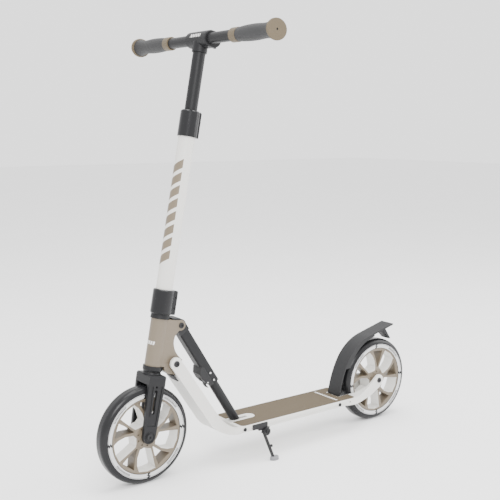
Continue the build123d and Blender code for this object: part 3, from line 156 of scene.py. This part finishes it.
def coated(name, colour, rough, peel=0.00006, rubbed=1.25, coat=0.0, shine=0.5, marks=None):
    """Powder coat; marks is a list of (mask maker, colour) printed over it."""
    finish = Finish(name, coat=coat, specular=shine)
    drift = finish.noise(9.0, 3.0)
    fleck = finish.noise(1600.0, 2.0)
    rounded, turn = finish.edges(0.0006)
    tone = finish.mix(drift, shade(colour, 0.95), shade(colour, 1.04))
    tone = finish.mix(turn * 2.2 * finish.noise(60.0, 4.0), tone, shade(colour, rubbed))
    for mask, ink in marks or []:
        tone = finish.mix(mask(finish), tone, shade(ink, 1.0))
    grip = rough + (drift - 0.5) * 0.10 + (fleck - 0.5) * 0.12
    return finish.skin(tone, grip, finish.noise(1100.0, 3.0), peel, rounded)


def wear(material, *nodes):
    for node in nodes:
        cad = frame["nodes"][node]
        cad.data.materials.clear()
        cad.data.materials.append(material)


white_paint = (0.66, 0.648, 0.615)
white_coat = coated("white satin coat", white_paint, 0.38, rubbed=1.12)
wear(white_coat, "deck", "neck", "rear_casting_left", "rear_casting_right")

# --- Lower stem
# A drawn aluminium tube in the same white coat. A column of slanted taupe blocks is screen
# printed on its front; the tube is pinched by the black clamp at its foot.
taupe_ink = (0.150, 0.118, 0.080)
block_foot = 0.3545           # along the steering line
block_pitch = 0.0266
block_count = 8.0
block_slant = 0.42            # pitches per radian round the tube
block_share = 0.68            # inked part of each pitch
block_reach = 1.05            # radians to each side of dead ahead


def stem_places(finish):
    """Height along the steering line, and the angle round it from dead ahead."""
    offset = [finish.x - steer_foot.x, finish.z - steer_foot.z]
    height = offset[0] * steer_up.x + offset[1] * steer_up.z
    ahead = offset[0] * steer_ahead.x + offset[1] * steer_ahead.z
    return height, finish.y.run("ARCTAN2", finish.y, ahead), ahead


def slanted_blocks(finish):
    height, angle, ahead = stem_places(finish)
    step = (height - block_foot) / block_pitch - angle * block_slant
    bar = step.run("FRACT", step)
    return (bar < block_share) * step.within(0.0, block_count) * (abs(angle) < block_reach)


stem_coat = coated("white stem coat", white_paint, 0.34, marks=[(slanted_blocks, taupe_ink)])
wear(stem_coat, "lower_stem")

# --- Head tube
# A cast aluminium tube with two lugs, coated taupe. A row of short pale bars is printed
# round its front, and the fold bolt and the strut bolt pass through the lugs.
taupe_paint = (0.142, 0.114, 0.080)
pale_ink = (0.72, 0.71, 0.69)
bar_share = 0.66              # inked part of each small bar's pitch


def head_bars(finish):
    height, angle, ahead = stem_places(finish)
    bar = angle.run("FRACT", angle / 0.30 - (height - 0.190) * 40.0)
    return (bar < bar_share) * height.within(0.1875, 0.1945) * angle.within(-0.88, 0.88)


taupe_coat = coated("taupe satin coat", taupe_paint, 0.42, marks=[(head_bars, pale_ink)])
wear(taupe_coat, "head_tube")

# --- Black coated metal
# Fork, strut, upper stem, T housing and handlebar are aluminium in satin black; the two
# collars are polished and lacquered, so they carry long bright reflections.
black_paint = (0.012, 0.012, 0.013)


def housing_bars(finish):
    height, angle, ahead = stem_places(finish)
    bar = height.run("FRACT", finish.y / 0.0062 + height * 70.0)
    band = height.within(0.8180, 0.8245) * (abs(finish.y) < 0.0180) * (ahead > 0)
    return (bar < bar_share) * band


black_shine = 0.20
black_coat = coated("black satin coat", black_paint, 0.40, rubbed=2.0, shine=black_shine)
housing_coat = coated(
    "black housing coat",
    black_paint,
    0.42,
    rubbed=2.0,
    shine=black_shine,
    marks=[(housing_bars, pale_ink)],
)
lacquer = (0.010, 0.010, 0.011)
gloss_coat = coated(
    "black lacquer", lacquer, 0.20, peel=0.00001, rubbed=1.8, coat=0.12, shine=black_shine
)
wear(black_coat, "fork", "upper_stem", "handlebar", "strut_sleeve", "strut_tube")
wear(black_coat, "headset_cups", "headset_races")
wear(housing_coat, "bar_clamp")
wear(gloss_coat, "lower_clamp", "height_collar")

# --- Bolts, pins and stand
# Bolts and the kickstand are blackened steel with a faint turned grain, and the hidden
# pins, bearings, spring and steerer are bare zinc-plated steel.


def steel(name, colour, rough, metallic):
    finish = Finish(name, metallic=metallic, specular=0.25)
    grain = finish.noise(700.0, 3.0, stretch=(1.0, 6.0, 1.0))
    stain = finish.noise(40.0, 4.0)
    rounded, turn = finish.edges(0.0003)
    tone = finish.mix(stain, shade(colour, 0.82), shade(colour, 1.15))
    tone = finish.mix(turn * 2.5, tone, shade(colour, 1.9))
    return finish.skin(tone, rough + (grain - 0.5) * 0.22, grain, 0.00003, rounded)


black_steel = steel("blackened steel", (0.020, 0.020, 0.021), 0.34, 0.25)
zinc_steel = steel("zinc plated steel", (0.56, 0.56, 0.55), 0.30, 1.0)
turned_alloy = steel("turned aluminium", (0.74, 0.75, 0.76), 0.26, 1.0)
wear(black_steel, "deck_screws", "fold_bolt", "rear_axle", "front_axle", "strut_bolt", "clamp_bolts")
wear(black_steel, "collar_screw", "bar_clamp_screws", "bar_end_screws", "strut_foot")
wear(black_steel, "kickstand_bracket", "kickstand_bolt", "kickstand_leg")
wear(zinc_steel, "foot_saddle", "foot_pin", "fender_pin", "fender_spring", "headset_bearings")
wear(zinc_steel, "front_wheel_bearings", "rear_wheel_bearings", "steerer", "latch_rivets")
wear(turned_alloy, "front_wheel_bearing_spacer", "rear_wheel_bearing_spacer")

# --- Moulded plastic
# The fender brake, strut hood, latch and lug cover are spark-textured black plastic; the
# slot cover is the same in white and the stand's foot in grey.


def moulded(name, colour, rough, texture=0.00008):
    finish = Finish(name, specular=0.25)
    spark = finish.noise(2400.0, 4.0)
    drift = finish.noise(14.0, 3.0)
    rounded, turn = finish.edges(0.0007)
    tone = finish.mix(drift, shade(colour, 0.90), shade(colour, 1.08))
    tone = finish.mix(turn * 2.0, tone, shade(colour, 1.5))
    return finish.skin(tone, rough + (spark - 0.5) * 0.16, spark, texture, rounded)


black_plastic = moulded("black textured plastic", (0.016, 0.016, 0.017), 0.48)
white_plastic = moulded("white plastic", (0.64, 0.63, 0.60), 0.45)
grey_plastic = moulded("grey plastic", (0.20, 0.20, 0.21), 0.50)
taupe_plastic = moulded("taupe plastic", (0.108, 0.084, 0.053), 0.46)
wear(black_plastic, "lug_cover", "strut_hood", "latch_housing", "latch_trigger", "fender")
wear(black_plastic, "height_button", "stem_bushing")
wear(white_plastic, "slot_plate")
wear(grey_plastic, "kickstand_foot")
wear(taupe_plastic, "grip_rings", "bar_ends")

# --- Grip sheet
# A rubber sheet with pressed-in fine grit, glued on the deck, taupe with darker and paler
# grains; a thin row of pale dashes is printed just ahead of the fender.
sheet_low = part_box("grip_tape")[0]
row_place = sheet_low.x + 0.052
grit_taupe = (0.088, 0.068, 0.044)


def grit_sheet():
    finish = Finish("taupe grit sheet", specular=0.25)
    grit = finish.noise(1300.0, 4.0)
    coarse = finish.noise(420.0, 3.0)
    scuff = finish.noise(11.0, 4.0, stretch=(0.6, 2.0, 1.0))
    tone = finish.mix(grit, shade(grit_taupe, 0.62), shade(grit_taupe, 1.35))
    tone = finish.mix(scuff * 0.35, tone, shade(grit_taupe, 1.12))
    row = abs(finish.x - row_place) < 0.0030
    dash = finish.y.run("FRACT", finish.y / 0.0085 + finish.x * 50.0) < bar_share
    tone = finish.mix(row * dash * (abs(finish.y) < 0.040), tone, shade(pale_ink, 1.0))
    return finish.skin(tone, 0.82 + (grit - 0.5) * 0.2, grit + coarse * 0.6, 0.0005)


wear(grit_sheet(), "grip_tape")

# --- Soft rubber
# Grips, the stop block in the neck and the brake pad are black rubber, dull and finely
# grained, slightly greyer where it has been handled.


def rubber(name, colour, rough, grain=0.00012):
    finish = Finish(name, specular=0.35)
    pore = finish.noise(1500.0, 3.0)
    haze = finish.noise(22.0, 4.0)
    tone = finish.mix(haze, shade(colour, 0.85), shade(colour, 1.25))
    return finish.skin(tone, rough + (haze - 0.5) * 0.15, pore, grain)


grip_rubber = rubber("grip rubber", (0.026, 0.026, 0.027), 0.60)
block_rubber = rubber("block rubber", (0.028, 0.028, 0.030), 0.70)
wear(grip_rubber, "grip_left", "grip_right")
wear(block_rubber, "neck_bumper", "brake_pad")

# --- Wheel rims
# Each rim is one nylon moulding with five pairs of spokes, taupe on its faces and in the
# narrow gaps, and off-white on the walls of the five large windows.
spoke_pairs = 5
window_turn = {"front_wheel": 52.0, "rear_wheel": 56.0}
rim_taupe = (0.136, 0.109, 0.076)


def rim_plastic(wheel):
    low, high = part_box(wheel + "_tyre")
    hub = (low + high) / 2
    finish = Finish(wheel + " rim nylon")
    across, up = finish.x - hub.x, finish.z - hub.z
    radius = across.run("SQRT", across * across + up * up)
    angle = up.run("ARCTAN2", up, across) - math.radians(window_turn[wheel])
    share = math.tau / spoke_pairs
    offset = angle.run("WRAP", angle, share / 2, -share / 2)
    upper = 0.6458 - radius.run("MAXIMUM", radius - 0.031, 0.0) * 6.63
    split = finish.node("ShaderNodeSeparateXYZ", {}, {0: finish.coords.outputs["Normal"]})
    wall = abs(Level(finish, split.outputs[1])) < 0.5
    window = wall * (offset < upper) * (offset > -0.3185) * radius.within(0.0238, 0.0768)
    spark = finish.noise(2200.0, 3.0)
    drift = finish.noise(16.0, 3.0)
    taupe = finish.mix(drift, shade(rim_taupe, 0.92), shade(rim_taupe, 1.06))
    pale = finish.mix(drift, (0.60, 0.59, 0.56, 1), (0.66, 0.65, 0.62, 1))
    rounded = finish.edges(0.0008)[0]
    tone = finish.mix(window, taupe, pale)
    return finish.skin(tone, 0.42 + (spark - 0.5) * 0.12, spark, 0.00005, rounded)


# --- Tyres
# Cast polyurethane, glossy black, with a pale printed band on each side wall. The band is
# broken by short dark zigzags and carries fine dashes between thin border lines.


def tyre_rubber(wheel):
    low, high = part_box(wheel + "_tyre")
    hub = (low + high) / 2
    finish = Finish(wheel + " tyre", coat=0.08, specular=0.20)
    across, up = finish.x - hub.x, finish.z - hub.z
    radius = across.run("SQRT", across * across + up * up)
    angle = up.run("ARCTAN2", up, across)
    band = radius.within(0.0805, 0.0898) * (abs(finish.y) > 0.0150)
    quarter = angle.run("WRAP", angle + 0.035, math.pi / 4, -math.pi / 4)
    zigzag = radius.run("PINGPONG", radius * 1000.0, 2.4) / 45.0
    gap = abs(quarter - zigzag + 0.02) < 0.036
    dash = angle.run("FRACT", angle * 30.0 + radius * 90.0) < 0.60
    text = dash * radius.within(0.0828, 0.0872) * (abs(quarter) > 0.55)
    border = abs(radius - 0.0886) < 0.00035
    ink = band * (1 - gap) * (1 - text) * (1 - border)
    cloud = finish.noise(30.0, 4.0)
    black = finish.mix(cloud, (0.007, 0.007, 0.008, 1), (0.014, 0.014, 0.015, 1))
    pale = finish.mix(finish.noise(60.0, 3.0), (0.50, 0.50, 0.50, 1), (0.60, 0.60, 0.60, 1))
    tone = finish.mix(ink, black, pale)
    rough = 0.26 + ink * 0.18 + (cloud - 0.5) * 0.10
    return finish.skin(tone, rough, finish.noise(900.0, 3.0) + ink * 0.6, 0.00004)


for wheel in ("front_wheel", "rear_wheel"):
    wear(rim_plastic(wheel), wheel + "_rim")
    wear(tyre_rubber(wheel), wheel + "_tyre")

# --- Floor and light
# A pale sheet under a big soft overhead light, a key from the front left and a weak fill
# from behind; the room itself is bright and white.
floor_mesh = bmesh.new()
bmesh.ops.create_grid(floor_mesh, x_segments=1, y_segments=1, size=14.0)
floor_data = bpy.data.meshes.new("floor")
floor_mesh.to_mesh(floor_data)
floor_mesh.free()
floor = bpy.data.objects.new("floor", floor_data)
bpy.context.scene.collection.objects.link(floor)
floor_finish = Finish("floor paper", specular=0.1)
dull, bright = (0.90, 0.90, 0.90, 1), (0.93, 0.93, 0.93, 1)
paper = floor_finish.mix(floor_finish.noise(3.0, 2.0), dull, bright)
fibres = floor_finish.noise(200.0, 2.0)
floor_data.materials.append(floor_finish.skin(paper, 0.9, fibres, 0.0001))

world = bpy.data.worlds.new("studio")
world.use_nodes = True
world.node_tree.nodes["Background"].inputs["Color"].default_value = (1.0, 1.0, 1.0, 1.0)
world.node_tree.nodes["Background"].inputs["Strength"].default_value = 2.0
bpy.context.scene.world = world


def soft_box(name, place, target, size, power):
    light = bpy.data.lights.new(name, "AREA")
    light.shape = "RECTANGLE"
    light.size, light.size_y = size
    light.energy = power
    box = bpy.data.objects.new(name, light)
    bpy.context.scene.collection.objects.link(box)
    aim = Vector(target) - Vector(place)
    turned = aim.to_track_quat("-Z", "Y").to_matrix().to_4x4()
    box.matrix_world = Matrix.Translation(place) @ turned


soft_box("key", (1.6, 2.6, 2.4), (0, 0, 0.4), (1.6, 1.6), 95.0)
soft_box("top", (-0.2, 0.2, 3.2), (0, 0, 0.3), (2.4, 2.4), 110.0)
soft_box("fill", (-2.6, 1.2, 1.4), (0, 0, 0.4), (1.4, 2.0), 35.0)

# --- Camera
# Standing ahead and to the left of the scooter at about hip height, looking slightly down.
camera_place = Vector((1.1967, 1.4853, 0.7273))
camera_target = Vector((0.0563, 0.0015, 0.4617))
camera_roll = math.radians(0.13)
camera_data = bpy.data.cameras.new("camera")
camera_data.lens = 61.98
camera_data.sensor_width = 36.0
camera = bpy.data.objects.new("camera", camera_data)
bpy.context.scene.collection.objects.link(camera)
looking = (camera_target - camera_place).to_track_quat("-Z", "Y").to_matrix().to_4x4()
roll = Matrix.Rotation(camera_roll, 4, "Z")
camera.matrix_world = Matrix.Translation(camera_place) @ looking @ roll
bpy.context.scene.camera = camera
